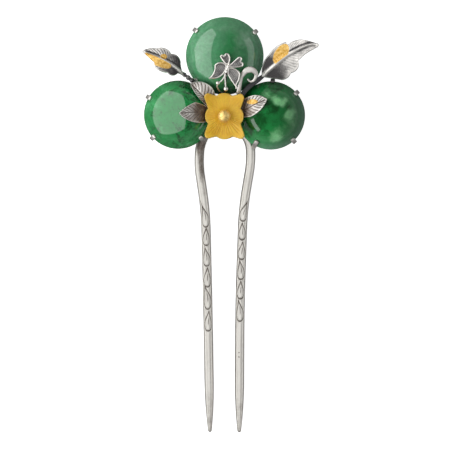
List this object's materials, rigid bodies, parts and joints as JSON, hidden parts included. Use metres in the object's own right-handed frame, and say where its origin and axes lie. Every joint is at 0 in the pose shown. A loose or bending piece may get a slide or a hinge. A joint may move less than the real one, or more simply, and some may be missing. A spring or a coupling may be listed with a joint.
{
  "type": "two-pronged ornamental hairpin",
  "caption": "Fork-shaped metal hairpin whose head carries round green cabochons in claws, silver leaves, a carved yellow blossom, a butterfly and a curled tendril.",
  "frame": {"origin": "on the axis of the blossom's stud, in the flat plane of the hub's back, on which the pin rests", "axes": "+Z out of the front, +Y along the tines towards the head, +X to the right seen from the front"},
  "size_m": [0.0566, 0.1332, 0.0134],
  "materials": {
    "silver": "satin silver, brushed along the tines, darker in the chased grooves",
    "oxidised_silver": "oxidised silver with bright rubbed edges and ribs, gilded patches on the leaves",
    "jade_pale": "polished milky green jade",
    "jade_bright": "polished mottled vivid green jade",
    "jade_dark": "polished dark green jade with pale swirls",
    "yellow_amber": "waxy opaque yellow amber, carved",
    "gilding": "polished gilding"
  },
  "bodies": {
    "root": {"fork_frame": "silver", "jade_top": "jade_pale", "jade_left": "jade_bright", "jade_right": "jade_dark", "leaf_spray_left": "oxidised_silver", "leaf_spray_right": "oxidised_silver", "leaf_rosette": "oxidised_silver", "tendril": "silver", "butterfly": "oxidised_silver", "blossom": "yellow_amber", "blossom_stud": "gilding"}
  },
  "joints": []
}
